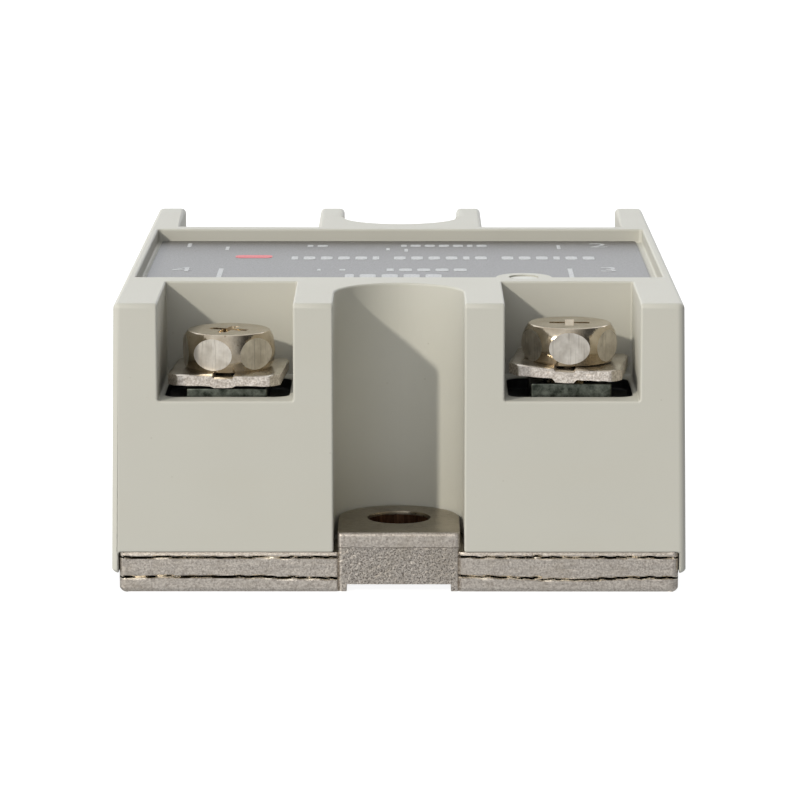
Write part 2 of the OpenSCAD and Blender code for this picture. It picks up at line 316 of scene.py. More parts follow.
# Nickel-plated steel screw, cold headed and barrel plated: bright, with fine upright die marks
def platedScrew():
    made, tree, surface, place = newMaterial("platedScrew", Metallic=1.0, Roughness=0.22)
    dies = addNode(tree, "ShaderNodeTexNoise", None, Vector=stretched(tree, place, 1, 1, 0.08),
                   Scale=perMetre(0.16), Detail=3.0)
    cloud = addNode(tree, "ShaderNodeTexNoise", None, Vector=place, Scale=perMetre(1.4), Detail=4.0)
    nicks = addNode(tree, "ShaderNodeTexNoise", None, Vector=place, Scale=perMetre(0.35), Detail=2.0)
    base = blendColours(tree, grade(tree, cloud.outputs["Fac"], 0.35, 0.65, 0.0, 1.0), linear("#AA9B83"),
                        linear("#C6BAA6"))
    tree.links.new(blendColours(tree, grade(tree, nicks.outputs["Fac"], 0.66, 0.72, 0.0, 0.6), base,
                                linear("#8C7458")), surface.inputs["Base Color"])
    tree.links.new(grade(tree, dies.outputs["Fac"], 0.3, 0.7, 0.07, 0.22), surface.inputs["Roughness"])
    lines = bumpFrom(tree, dies.outputs["Fac"], 0.012, 0.5)
    tree.links.new(bumpFrom(tree, nicks.outputs["Fac"], 0.03, 0.25, lines), surface.inputs["Normal"])
    return made


# The flats of the same screw, ground across before plating: paler and duller, with upright grind marks
def groundFacet():
    made, tree, surface, place = newMaterial("groundFacet", Metallic=1.0, Roughness=0.42)
    grindMarks = addNode(tree, "ShaderNodeTexNoise", None, Vector=stretched(tree, place, 1, 1, 0.05),
                         Scale=perMetre(0.13), Detail=3.0)
    cloud = addNode(tree, "ShaderNodeTexNoise", None, Vector=place, Scale=perMetre(0.9), Detail=3.0)
    base = blendColours(tree, grade(tree, cloud.outputs["Fac"], 0.35, 0.65, 0.0, 1.0), linear("#BFB7AA"),
                        linear("#DCD5C9"))
    scored = blendColours(tree, grade(tree, grindMarks.outputs["Fac"], 0.55, 0.7, 0.0, 0.55), base,
                          linear("#9B948A"))
    tree.links.new(scored, surface.inputs["Base Color"])
    tree.links.new(grade(tree, grindMarks.outputs["Fac"], 0.3, 0.7, 0.36, 0.5), surface.inputs["Roughness"])
    tree.links.new(bumpFrom(tree, grindMarks.outputs["Fac"], 0.02, 0.5), surface.inputs["Normal"])
    return made


# Nickel-plated spring steel, blanked and pressed: satin faces, grainy sheared rim
def pressedNickel():
    made, tree, surface, place = newMaterial("pressedNickel", Metallic=1.0, Roughness=0.3)
    fine = addNode(tree, "ShaderNodeTexNoise", None, Vector=place, Scale=perMetre(0.15), Detail=4.0)
    cloud = addNode(tree, "ShaderNodeTexNoise", None, Vector=place, Scale=perMetre(1.8), Detail=3.0)
    up = addNode(tree, "ShaderNodeSeparateXYZ", None,
                 Vector=addNode(tree, "ShaderNodeNewGeometry").outputs["True Normal"])
    steep = addNode(tree, "ShaderNodeMath", {"operation": "ABSOLUTE"}, i0=up.outputs["Z"]).outputs[0]
    flat = grade(tree, steep, 0.35, 0.75, 0.0, 1.0)
    base = blendColours(tree, grade(tree, cloud.outputs["Fac"], 0.35, 0.65, 0.0, 1.0), linear("#BDB2A2"),
                        linear("#D3CCBF"))
    rim = blendColours(tree, grade(tree, fine.outputs["Fac"], 0.35, 0.65, 0.0, 1.0), linear("#B4A99D"),
                       linear("#E6DED4"))
    tree.links.new(blendColours(tree, flat, rim, base), surface.inputs["Base Color"])
    tree.links.new(grade(tree, flat, 0.0, 1.0, 0.5, 0.26), surface.inputs["Roughness"])
    tree.links.new(bumpFrom(tree, fine.outputs["Fac"], 0.03, 0.5), surface.inputs["Normal"])
    return made


# Dark tinned brass strip, dulled by handling: low, uneven gloss
def dulledStrip():
    made, tree, surface, place = newMaterial("dulledStrip", Metallic=1.0, Roughness=0.4)
    cloud = addNode(tree, "ShaderNodeTexNoise", None, Vector=place, Scale=perMetre(0.7), Detail=6.0,
                    Roughness=0.7)
    fine = addNode(tree, "ShaderNodeTexNoise", None, Vector=place, Scale=perMetre(0.12), Detail=3.0)
    tree.links.new(blendColours(tree, grade(tree, cloud.outputs["Fac"], 0.35, 0.7, 0.0, 1.0),
                                linear("#33372F"), linear("#7F8378")), surface.inputs["Base Color"])
    tree.links.new(grade(tree, cloud.outputs["Fac"], 0.3, 0.7, 0.3, 0.5), surface.inputs["Roughness"])
    tree.links.new(bumpFrom(tree, fine.outputs["Fac"], 0.02, 0.5), surface.inputs["Normal"])
    return made


# Polyester label film with a satin overlaminate: dark, and pale where it mirrors the room at a low angle
def labelFilm():
    made, tree, surface, place = newMaterial("labelFilm", Roughness=0.38, IOR=1.55)
    fine = addNode(tree, "ShaderNodeTexNoise", None, Vector=place, Scale=perMetre(0.14), Detail=2.0)
    wave = addNode(tree, "ShaderNodeTexNoise", None, Vector=place, Scale=perMetre(7.0), Detail=1.0)
    base = blendColours(tree, fine.outputs["Fac"], linear("#48443F"), linear("#534F49"))
    tree.links.new(base, surface.inputs["Base Color"])
    tree.links.new(grade(tree, fine.outputs["Fac"], 0.3, 0.7, 0.34, 0.44), surface.inputs["Roughness"])
    ripple = bumpFrom(tree, wave.outputs["Fac"], 0.15, 0.1)
    tree.links.new(bumpFrom(tree, fine.outputs["Fac"], 0.008, 0.3, ripple), surface.inputs["Normal"])
    return made


# Screen-printed ink on the film, slightly uneven in cover
def screenInk(name, dark, light):
    made, tree, surface, place = newMaterial(name, Roughness=0.45, IOR=1.5)
    cover = addNode(tree, "ShaderNodeTexNoise", None, Vector=place, Scale=perMetre(0.2), Detail=3.0)
    tree.links.new(blendColours(tree, grade(tree, cover.outputs["Fac"], 0.3, 0.6, 0.0, 1.0), linear(dark),
                                linear(light)), surface.inputs["Base Color"])
    tree.links.new(bumpFrom(tree, cover.outputs["Fac"], 0.01, 0.4), surface.inputs["Normal"])
    return made


# Milky polycarbonate light guide, polished end
def milkyGuide():
    made, tree, surface, place = newMaterial("milkyGuide", Roughness=0.25, IOR=1.58)
    haze = addNode(tree, "ShaderNodeTexNoise", None, Vector=place, Scale=perMetre(0.8), Detail=2.0)
    tree.links.new(blendColours(tree, haze.outputs["Fac"], linear("#BDBBB0"), linear("#C6C4B9")),
                   surface.inputs["Base Color"])
    tree.links.new(grade(tree, haze.outputs["Fac"], 0.3, 0.7, 0.4, 0.52), surface.inputs["Roughness"])
    return made


# Plain hidden goods: two close tones, a grain size, and a gloss
def hiddenGoods(name, first, second, grainMm, rough, metal=0.0):
    made, tree, surface, place = newMaterial(name, Roughness=rough, Metallic=metal)
    grain = addNode(tree, "ShaderNodeTexNoise", None, Vector=place, Scale=perMetre(grainMm), Detail=4.0)
    tree.links.new(blendColours(tree, grade(tree, grain.outputs["Fac"], 0.35, 0.65, 0.0, 1.0),
                                linear(first), linear(second)), surface.inputs["Base Color"])
    tree.links.new(grade(tree, grain.outputs["Fac"], 0.3, 0.7, rough - 0.06, rough + 0.08),
                   surface.inputs["Roughness"])
    tree.links.new(bumpFrom(tree, grain.outputs["Fac"], 0.02, 0.4), surface.inputs["Normal"])
    return made


finishes = {
    "abs": mouldedAbs(),
    "plate": platedSteel(),
    "sheared": shearedSteel(),
    "bore": punchedBore(),
    "screw": platedScrew(),
    "facet": groundFacet(),
    "clamp": pressedNickel(),
    "strip": dulledStrip(),
    "film": labelFilm(),
    "whiteInk": screenInk("whiteInk", "#8F8F8E", "#B6B6B4"),
    "redInk": screenInk("redInk", "#C4343A", "#D24A4E"),
    "guide": milkyGuide(),
}
print("materials made")

body = {
    "topWidth": 45.0, "plateT": 3.2, "plateW": 44.6,
    "cornerRound": 0.6, "topRound": 0.42, "edgeRound": 0.18, "crownR": 0.42,
    "notchR": 5.2, "holeY": 23.8, "wall": 2.0,
    "floorZ": 15.4, "trayZ": 14.4, "trayW": 9.9, "trayIn": 2.2, "trayRound": 1.2,
    "recess": 1.2, "recessW": 43.4, "recessFront": -15.25, "recessBack": 14.9,
    "bossR": 2.35, "wellR": 2.6, "wellZ": 8.0, "wellBossR": 3.9, "wellBossZ": 6.8,
    "footRound": 0.3, "recessRound": 0.35, "trayBack": 0.6, "backWall": 1.9, "slotH": 1.7, "smoothDeg": 50,
    "slotW": 4.2, "lowTop": 12.4, "highTop": 20.4, "innerX": 20.6, "innerY": 28.0,
}
pockets = {"control": {"width": 10.7, "deep": 12.3}, "load": {"width": 12.6, "deep": 13.6}}
shellLow, shellHigh = [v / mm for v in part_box("housing")]
endY, topZ = shellHigh.y, shellHigh.z
guideLow, guideHigh = [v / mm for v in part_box("light_pipe")]
guideX, guideY = (guideLow.x + guideHigh.x) / 2, (guideLow.y + guideHigh.y) / 2
guideR = (guideHigh.x - guideLow.x) / 2
axes = {j["name"][6]: Vector(j["pos_m"]) / mm for j in frame["joints"] if j["type"] == "hinge"}


def notchTool(name, radius, z0, z1, sign, out=2.0):  # an upright U, round at the hole and open at the end
    y0, y1 = sorted((sign * (body["holeY"] - radius), sign * (endY + out)))
    tool = addBlock(name, (-radius, y0, z0), (radius, y1, z1))
    inner = sign * (body["holeY"] - radius)
    roundEdges(tool, lambda e: along(e, 2) and atLevel(e, 1, inner), radius * 0.9999, 28)
    return tool


def upright(edge):  # nearly vertical
    return abs((edge.verts[1].co - edge.verts[0].co).normalized().z) > 0.9


def onPost(edge):  # the load end's post edges, from the top round down the end face
    x = abs(edge.verts[0].co.x) / mm
    walls = [abs(axes["2"].x + side * pockets["load"]["width"] / 2) for side in (-1, 1)]
    level = min((abs(x - w), w) for w in walls + [body["notchR"]])
    start = body["holeY"] if level[1] == body["notchR"] else endY - pockets["load"]["deep"]
    return (level[0] < 0.004 and atLevel(edge, 0, edge.verts[0].co.x / mm)
            and max(v.co.y for v in edge.verts) > (start + 0.01) * mm
            and max(v.co.z for v in edge.verts) > (body["floorZ"] + 0.01) * mm)


def pocketOf(n):
    return pockets["load" if n in "12" else "control"]


def atPocket(n, low, high):  # corners across x, and inwards from that pocket's end face
    axis = axes[n]
    sign = 1 if axis.y > 0 else -1
    ys = sorted((sign * (endY - low[1]), sign * (endY - high[1])))
    return (axis.x + low[0], ys[0], low[2]), (axis.x + high[0], ys[1], high[2])


shell = addBlock("housing_shell", shellLow, shellHigh)
editPick(shell, "FACE", lambda f: f.normal.z > 0.9)
draft = body["topWidth"] / (shellHigh.x - shellLow.x)  # the side walls lean in
bpy.ops.transform.resize(value=(draft, 1, 1))
leaveEdit()
roundEdges(shell, upright, body["cornerRound"], 6)
roundEdges(shell, lambda e: atLevel(e, 2, topZ), body["topRound"], 5)
roundEdges(shell, lambda e: atLevel(e, 2, shellLow.z), body["footRound"], 2)

hollow = addBlock("hollow", (-body["innerX"], -body["innerY"], body["plateT"] - 1),
                  (body["innerX"], body["innerY"], body["lowTop"]))
backs = {k: endY - p["deep"] - body["backWall"] for k, p in pockets.items()}
carve(hollow, addBlock("up", (-body["innerX"], -backs["control"], body["lowTop"] - 1),
                       (body["innerX"], backs["load"], body["highTop"])), "UNION")
for sign in (-1, 1):
    carve(hollow, notchTool("tower", body["notchR"] + body["wall"], 0, 14, sign))
for n, axis in axes.items():
    carve(hollow, addRod("wellBoss", axis.x, axis.y, body["wellBossZ"], 14, body["wellBossR"], 64))

carve(shell, hollow)
plateRoom = addBlock("plateRoom", (-body["plateW"] / 2, -40, -1), (body["plateW"] / 2, 40, body["plateT"]))
carve(shell, plateRoom)
for sign in (-1, 1):
    carve(shell, notchTool("notch", body["notchR"], -1, 30, sign))
for n in "1234":
    half, deep = pocketOf(n)["width"] / 2, pocketOf(n)["deep"]
    carve(shell, addBlock("pocket", *atPocket(n, (-half, -2, body["floorZ"]), (half, deep, 30))))
    tray = addBlock("tray", *atPocket(n, (-body["trayW"] / 2, body["trayIn"], body["trayZ"]),
                                      (body["trayW"] / 2, deep - body["trayBack"], 20)))
    roundEdges(tray, lambda e: along(e, 2), body["trayRound"], 8)
    carve(shell, tray)
    slotTop = body["trayZ"] + body["slotH"]
    carve(shell, addBlock("stripWay", *atPocket(n, (-body["slotW"] / 2, deep - 2, body["trayZ"]),
                                                (body["slotW"] / 2, deep + 3, slotTop))))
    carve(shell, addRod("well", axes[n].x, axes[n].y, body["wellZ"], 20, body["wellR"], 64))
recess = addBlock("recess", (-body["recessW"] / 2, body["recessFront"], topZ - body["recess"]),
                  (body["recessW"] / 2, body["recessBack"], 30))
roundEdges(recess, lambda e: along(e, 2), body["recessRound"], 4)
carve(recess, addRod("lampBoss", guideX, guideY, 0, 40, body["bossR"], 96))
carve(shell, recess)
roundEdges(shell, onPost, body["crownR"], 4)
softEdges(shell, body["edgeRound"], 3, 42)
carve(shell, addRod("guideWay", guideX, guideY, 12, 40, guideR + 0.02, 64))
for v in shell.data.vertices:  # rounding must not stand out of the moulding's own box
    v.co.y = max(-endY * mm, min(endY * mm, v.co.y))
    v.co.z = min(topZ * mm, v.co.z)
fixNormals(shell)
shadeByAngle(shell, body["smoothDeg"])
painted_tray_shade = shell.data.attributes.new("painted_tray_shade", "FLOAT", "POINT")  # painted shade, near-black, on the walls and floors of the four trays where shadow falls
for v in shell.data.vertices:
    x, y, z = v.co / mm
    inTray = abs(abs(x) - axes["2"].x) < body["trayW"] / 2 + 0.05 and abs(y) < endY - body["trayIn"] + 0.05
    if inTray and body["trayZ"] - 0.1 < z < body["floorZ"] - 0.1:
        painted_tray_shade.data[v.index].value = 1.0
handIn(shell, "relay_body", finishes["abs"], "housing_plastic", "housing")
print("housing made")

plate = {
    "columns": 420, "rows": 40, "cornerRound": 0.5, "holeR": 2.5, "holeRound": 0.28,
    "tabHalf": 4.85, "tabZ": 4.8, "lineHigh": 2.8, "lineLow": 1.12, "lineDeep": 0.4, "lineHalf": 0.1,
    "tornTop": 3.6,
    "reliefHalf": 4.15, "reliefZ": 0.6, "reliefDeep": 3.4, "tabColumns": 110, "tabRows": 56,
    "tabSeam": 0.4, "tabLow": 0.03, "tabRound": 0.3, "tabSide": 0.25, "standBack": 0.5,
    "rollTop": 0.12, "rollBottom": 0.18, "rollH": 0.3, "gap": 0.15, "smoothDeg": 40,
}
plateLow, plateHigh = [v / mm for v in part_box("base_plate")]


def crackAt(x, z, seed):  # 1 at the bottom of a tear line, 0 away from it
    if abs(x) < plate["tabHalf"]:
        return 0.0
    jag = 0.05 * grainAt(x, seed, 0, 0.9) + 0.09 * grainAt(x, seed, 5, 0.24)
    jag += 0.06 * grainAt(x, seed, 7, 0.13)
    deepest = 0.0
    for level in (plate["lineHigh"], plate["lineLow"] + 0.25 * grainAt(x, 3, seed, 9)):
        off = abs(z - level - jag) / plate["lineHalf"]
        strong = 0.95 + 0.9 * grainAt(x, seed, level, 1.2) + 0.5 * grainAt(x, seed, level, 0.3)
        deepest = max(deepest, min(1, max(0.3, strong)) * max(0, 1 - off * off))
    return deepest


def tabEdge(x, z, seed):  # the tab's end: a smooth upper band over a torn one, its top edge rounded
    crown = plate["tabRound"]
    back = crown * (1 - math.sqrt(max(0, 1 - max(0, (z - plate["tabZ"] + crown) / crown) ** 2)))
    torn = 1 if z < plate["tornTop"] + 0.12 * grainAt(x, seed, 0, 0.8) else 0
    side = plate["tabSide"] * max(0, (abs(x) - plate["tabHalf"]) / plate["tabSide"] + 1) ** 2
    return back + side + torn * (0.1 + 0.03 * grainAt(x, z, seed, 0.3) + 0.04 * grainAt(x, z, seed, 0.13))


def splitEnd(piece, columns, rows):  # a grid on the sheared ends
    editPick(piece, "EDGE",
             lambda e: along(e, 0) and all(abs(v.co.y) > (endY - 0.01) * mm for v in e.verts))
    bpy.ops.mesh.subdivide(number_cuts=columns)
    leaveEdit()
    editPick(piece, "EDGE", lambda e: along(e, 2))
    bpy.ops.mesh.subdivide(number_cuts=rows)
    leaveEdit()


def tearEnd(piece, tear):  # pushes the end faces in by what the tear function says
    for v in piece.data.vertices:
        x, y, z = v.co / mm
        if abs(y) > endY - 0.001:
            v.co.y -= math.copysign(tear(x, z, math.copysign(4.0, y)), y) * mm


def shearedEdge(x, z, seed):  # how far the sheared end stands back, in mm
    if abs(x) < plate["tabHalf"]:  # the tab's own end stands here
        return plate["standBack"]
    roll = plate["rollH"]
    back = plate["rollTop"] * max(0, (z - body["plateT"]) / roll + 1) ** 2
    back += plate["rollBottom"] * max(0, 1 - z / roll) ** 2
    back += plate["lineDeep"] * crackAt(x, z, seed)
    if plate["lineLow"] < z < plate["lineHigh"]:  # torn band between the lines
        back += 0.05 + 0.03 * grainAt(x, z, seed, 0.5) + 0.025 * grainAt(x, z, seed, 0.16)
    return max(0.0, back)


slab = addBlock("plate_slab", (plateLow.x, plateLow.y, 0), (plateHigh.x, plateHigh.y, body["plateT"]))
roundEdges(slab, lambda e: along(e, 2), plate["cornerRound"], 4)
splitEnd(slab, plate["columns"], plate["rows"])
tearEnd(slab, shearedEdge)
for v in slab.data.vertices:
    x, y, z = v.co / mm
    if z < 0.35 and abs(x) > plateHigh.x - 0.6:
        v.co.x -= math.copysign(0.3 * (1 - z / 0.35) ** 2, x) * mm


def openEnd(piece, sign):  # the relief and the mounting hole at one end, with its rounded rim
    y0, y1 = sorted((sign * (endY - plate["reliefDeep"]), sign * (endY + 1)))
    relief = addBlock("relief", (-plate["reliefHalf"], y0, -1), (plate["reliefHalf"], y1, plate["reliefZ"]))
    carve(piece, relief)
    holeY = sign * body["holeY"]
    carve(piece, addRod("hole", 0, holeY, -1, 9, plate["holeR"], 96))
    rim = addRod("holeRim", 0, holeY, plate["tabZ"] - plate["holeRound"], plate["tabZ"] + 1,
                 plate["holeR"] + plate["holeRound"], 96)
    editPick(rim, "FACE", lambda f: f.normal.z < -0.9)
    share = plate["holeR"] / (plate["holeR"] + plate["holeRound"])
    bpy.ops.transform.resize(value=(share, share, 1))
    leaveEdit()
    carve(piece, rim)


raisedX, raisedY = body["innerX"] - plate["gap"], body["innerY"] - plate["gap"]
middle = addBlock("raised", (-raisedX, -raisedY, 1), (raisedX, raisedY, plate["tabZ"]))
for sign in (-1, 1):
    carve(middle, notchTool("towerRoom", body["notchR"] + body["wall"] + plate["gap"], 0, 9, sign))
    carve(slab, notchTool("tabRoom", plate["tabHalf"] - plate["tabSeam"], -1, 9, sign))
tabs = []
for sign in (-1, 1):
    tab = notchTool("tab", plate["tabHalf"], plate["tabLow"], plate["tabZ"], sign, out=0.0)
    splitEnd(tab, plate["tabColumns"], plate["tabRows"])
    tearEnd(tab, tabEdge)
    openEnd(tab, sign)
    tabs.append(tab)
pickOnly(middle)
for tab in tabs:
    tab.select_set(True)
bpy.ops.object.join()
carve(slab, middle, "UNION")
fixNormals(slab)
shadeByAngle(slab, plate["smoothDeg"])
slab.data.materials.append(finishes["plate"])
slab.data.materials.append(finishes["sheared"])
slab.data.materials.append(finishes["bore"])
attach(slab, "relay_body")
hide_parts("base_plate")
slab.name = "heat_plate"
slab.data.attributes.new("tearShadeAndGlint", "FLOAT", "POINT")  # painted shadow along the tear lines, with a painted glint at their edges
slab.data.attributes.new("coarse", "FLOAT", "POINT")  # the torn part of the tabs, whose pits get painted shade
tearShading, coarse = slab.data.attributes["tearShadeAndGlint"], slab.data.attributes["coarse"]
for v in slab.data.vertices:
    x, y, z = v.co / mm
    if abs(y) > endY - 0.7:
        tearShading.data[v.index].value = crackAt(x, z, math.copysign(4.0, y))
        inTab = abs(x) < plate["tabHalf"] - 0.3 and z < plate["tornTop"]
        coarse.data[v.index].value = 0.75 if inTab else 0.0
for face in slab.data.polygons:
    torn = abs(face.center.y) > (endY - 0.6) * mm and abs(face.normal.y) > 0.25
    fromHole = math.hypot(face.center.x, abs(face.center.y) - body["holeY"] * mm)
    bored = fromHole < (plate["holeR"] + 0.02) * mm and abs(face.normal.z) < 0.3
    face.material_index = 2 if bored else 1 if torn else 0
print("base plate made")

clamp = {"width": 9.0, "thick": 0.9, "cuts": 61, "corner": 0.8, "grooveHalf": 0.8, "grooveDeep": 0.2,
         "holeR": 2.3, "roll": 0.1, "rimWide": 0.35, "layers": 5,
         "yaw": {"1": 3, "2": -4, "3": -7, "4": -3.6}}


def pressPlate(piece, n, ribDeep):  # groove, rolled rim, cut corners, torn sides, bend
    half, thick = clamp["width"] / 2, clamp["thick"]
    lean, sag = (-0.045, 0.09) if n == "3" else (0.004, 0.03)
    for v in piece.data.vertices:
        x, y, z = v.co / mm
        rim = min(half - abs(x), half - abs(y))
        onTop = z > thick / 2
        reach, soft = (0.08, 0.16) if onTop else (0.2, 0.3)
        side = min(1, max(0, (clamp["grooveHalf"] + reach - abs(x)) / soft))
        step = side * side * (3 - 2 * side)
        z -= step * (clamp["grooveDeep"] * z / thick if onTop else ribDeep * (1 - z / thick))
        z -= clamp["roll"] * max(0, 1 - rim / clamp["rimWide"]) ** 2 * (1 if onTop else -0.3)
        over = abs(x) + abs(y) - (2 * half - clamp["corner"])
        if over > 0:
            x -= math.copysign(over / 2, x)
            y -= math.copysign(over / 2, y)
        if rim < 0.01:
            torn = 0.05 * grainAt(x * 1.3, y * 1.3, z, 0.5, float(n))
            torn += 0.03 * grainAt(x, y, z, 0.2, float(n))
            x += math.copysign(torn, x) if abs(x) > abs(y) else 0
            y += math.copysign(torn, y) if abs(y) >= abs(x) else 0
            z += 0.05 * grainAt(x, y, 0, 0.8, float(n) + 3) * (0 if onTop else 1)
        z += lean * x + sag * (abs(x) / half) ** 2 * (1 if n == "3" else 0.5)
        z += 0.02 * grainAt(x, y, 0, 3.0, float(n))
        v.co = Vector((x, y, z)) * mm


for n, axis in axes.items():
    low, high = [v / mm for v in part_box("clamp_" + n)]
    half, thick = clamp["width"] / 2, clamp["thick"]
    pressed = addBlock("clamp_plate_" + n, (-half, -half, 0), (half, half, thick))
    editPick(pressed, "EDGE", lambda e: not along(e, 2))
    bpy.ops.mesh.subdivide(number_cuts=clamp["cuts"])
    leaveEdit()
    editPick(pressed, "EDGE", lambda e: along(e, 2))
    bpy.ops.mesh.subdivide(number_cuts=clamp["layers"])
    leaveEdit()
    pressPlate(pressed, n, min(0.3, high.z - thick - low.z - 0.05))
    carve(pressed, addRod("clampHole", 0, 0, -2, 3, clamp["holeR"], 64))
    moveMesh(pressed, (axis.x, axis.y, high.z - thick), clamp["yaw"][n] + (180 if axis.y > 0 else 0))
    shadeByAngle(pressed, 40)
    handIn(pressed, "clamp_" + n, finishes["clamp"], "clamp_metal", "clamp_" + n)
print("clamps made")

screw = {"flats": 7.0, "headH": 3.0, "bellyR": 3.86, "bellyZ": 1.42, "rimR": 3.3,
         "crossW": 1.05, "crossL": 4.7, "crossDeep": 1.3, "shank": 8.0, "crestR": 1.97, "rootR": 1.62,
         "pitch": 0.7, "barrelCuts": 17, "rimRound": 0.07, "crossTaper": 0.55, "smoothDeg": 15,
         "ringsPerTurn": 10, "sides": 40, "yaw": {"1": 11, "2": -24, "3": -2, "4": -19}}


def threadedShank():  # rings are extruded upwards, then each point is put on the helix's flank
    rings = int(screw["shank"] / screw["pitch"] * screw["ringsPerTurn"])
    step = screw["shank"] / rings
    pickNone()
    bpy.ops.mesh.primitive_circle_add(vertices=screw["sides"], radius=screw["crestR"] * mm,
                                      fill_type="NGON")
    shank = bpy.context.object
    editPick(shank, "FACE", lambda f: True)
    for i in range(rings):
        bpy.ops.mesh.extrude_region_move(TRANSFORM_OT_translate={"value": (0, 0, step * mm)})
    leaveEdit()
    fixNormals(shank)
    for v in shank.data.vertices:
        x, y, z = v.co / mm
        phase = (z / screw["pitch"] - math.atan2(y, x) / math.tau) % 1
        flank = min(1, max(0, abs(phase - 0.5) * 2.6 - 0.3))  # root at mid pitch, narrow crest
        lead = min(1, z / 0.5)
        radius = screw["rootR"] + (screw["crestR"] - screw["rootR"]) * flank * lead
        size = math.hypot(x, y)
        if size > 0.1:
            v.co = Vector((x * radius / size, y * radius / size, z)) * mm
    moveMesh(shank, (0, 0, -screw["shank"] + 0.05))
    return shank


def modelScrew():
    head = addRod("head", 0, 0, 0, screw["headH"], screw["bellyR"], 120)
    editPick(head, "EDGE", lambda e: along(e, 2))
    bpy.ops.mesh.subdivide(number_cuts=screw["barrelCuts"])
    leaveEdit()
    for v in head.data.vertices:  # barrel: widest at the belly, drawn in to the two rims
        off = v.co.z / mm - screw["bellyZ"]
        pulledIn = (screw["bellyR"] - screw["rimR"]) / screw["bellyR"]
        share = 1 - pulledIn * (off / (screw["headH"] - screw["bellyZ"])) ** 2
        v.co.x, v.co.y = v.co.x * share, v.co.y * share
    roundEdges(head, lambda e: atLevel(e, 2, screw["headH"]), screw["rimRound"], 2)
    prism = addRod("prism", 0, 0, -1, screw["headH"] + 1, screw["flats"] / math.sqrt(3), 6)
    moveMesh(prism, turnDeg=30)
    carve(head, prism, "INTERSECT")
    for a in (0, 1):
        half = (screw["crossL"] / 2, screw["crossW"] / 2)
        across = half if a else half[::-1]
        slot = addBlock("slot", (-across[0], -across[1], screw["headH"] - screw["crossDeep"]),
                        (across[0], across[1], 6))
        editPick(slot, "FACE", lambda f: f.normal.z < -0.9)
        bpy.ops.transform.resize(value=(screw["crossTaper"], screw["crossTaper"], 1))
        leaveEdit()
        carve(head, slot)
    moveMesh(head, turnDeg=45)
    carve(head, threadedShank(), "UNION")
    return head


master = modelScrew()
for n, axis in axes.items():
    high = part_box("screw_" + n)[1] / mm
    turned = copyOf(master, "hex_screw_" + n)
    moveMesh(turned, (axis.x, axis.y, high.z - screw["headH"]),
             screw["yaw"][n] + (180 if axis.y > 0 else 0) - 45)
    shadeByAngle(turned, screw["smoothDeg"])
    handIn(turned, "screw_" + n, finishes["screw"], "screw_metal", "screw_" + n)
    turned.data.materials.append(finishes["facet"])
    for face in turned.data.polygons:  # the six flats are the only big upright faces out there
        flat = face.center.z > (high.z - screw["headH"]) * mm and abs(face.normal.z) < 0.01
        away = math.hypot(face.center.x - axis.x * mm, face.center.y - axis.y * mm)
        outer = away > (screw["flats"] / 2 - 0.3) * mm
        face.material_index = 1 if flat and outer and len(face.vertices) > 6 else 0
bpy.data.objects.remove(master)
print("screws made")

strip = {"edge": 0.14, "bend": 2.4, "lift": 0.42, "flatDeg": 3, "smoothDeg": 40}
for n in "1234":
    bar = copyOf(frame["nodes"]["terminal_" + n], "contact_strip_" + n)
    bar.parent = None
    for key in list(bar.keys()):
        del bar[key]
    fixNormals(bar)
    if n == "3":  # this one sits bent, its outer end lifted to the clamp
        endAt = min(v.co.y for v in bar.data.vertices)
        editPick(bar, "FACE", lambda f: True)
        bpy.ops.mesh.bisect(plane_co=(0, endAt + strip["bend"] * mm, 0), plane_no=(0, 1, 0))
        leaveEdit()
        for v in bar.data.vertices:
            v.co.z += strip["lift"] * mm * max(0, 1 - (v.co.y - endAt) / (strip["bend"] * mm))
    useModifier(bar, "DECIMATE", decimate_type="DISSOLVE", angle_limit=math.radians(strip["flatDeg"]))
    softEdges(bar, strip["edge"], 3, strip["smoothDeg"])
    shadeByAngle(bar, strip["smoothDeg"])
    handIn(bar, "relay_body", finishes["strip"], "terminal_metal", "terminal_" + n)
print("strips made")

label = {"corner": 0.4, "inkT": 0.02, "lampGap": 0.15, "edge": 0.03, "inkCorner": 0.3}
labelLow, labelHigh = [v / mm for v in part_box("label")]
film = addBlock("label_film", labelLow, labelHigh)
roundEdges(film, lambda e: along(e, 2), label["corner"], 5)
carve(film, addRod("lampRoom", guideX, guideY, 0, 40, body["bossR"] + label["lampGap"], 96))
softEdges(film, label["edge"], 2, 50)
shadeByAngle(film, 40)
handIn(film, "relay_body", finishes["film"], "label_sheet", "label")

inkZ = labelHigh.z
marks = {
    # numeral: x, y of its middle
    "numerals": {"1": (-18.7, 11.6), "2": (17.6, 11.6), "3": (17.8, -3.6), "4": (-18.5, -3.6)},
    "numeralSize": 3.64,
    "narrow": 0.55, "wordGap": 2.6,  # every fifth block is narrow, and words stand apart
    # bars: x0, x1, y0, y1
    "blocks": [
        {"from": -9.4, "count": 18, "wide": 1.0, "gap": 0.5, "word": 6, "y": (2.5, 4.5)},
        {"from": -8.2, "count": 2, "wide": 0.9, "gap": 0.4, "word": 9, "y": (10.7, 11.9)},
        {"from": 0.1, "count": 7, "wide": 0.9, "gap": 0.35, "word": 9, "y": (10.7, 12.1)},
        {"from": -7.0, "count": 2, "wide": 0.5, "gap": 1.6, "word": 9, "y": (-4.3, -3.3)},
        {"from": -1.1, "count": 5, "wide": 1.1, "gap": 0.45, "word": 9, "y": (-4.6, -3.0)},
        {"from": -4.6, "count": 5, "wide": 1.35, "gap": 0.5, "word": 9, "y": (-8.4, -6.4)},
    ],
    "red": (-14.3, -11.1, 3.6, 5.3),
    "bars": [(-1.2, -0.9, 8.4, 9.9), (0.4, 0.7, 7.6, 9.4), (-15.4, -15.1, 8.6, 10.8),
             (13.9, 14.2, 9.4, 11.8), (-15.4, -15.0, -10.0, -3.0), (14.3, 14.7, -10.0, -3.0)],
}


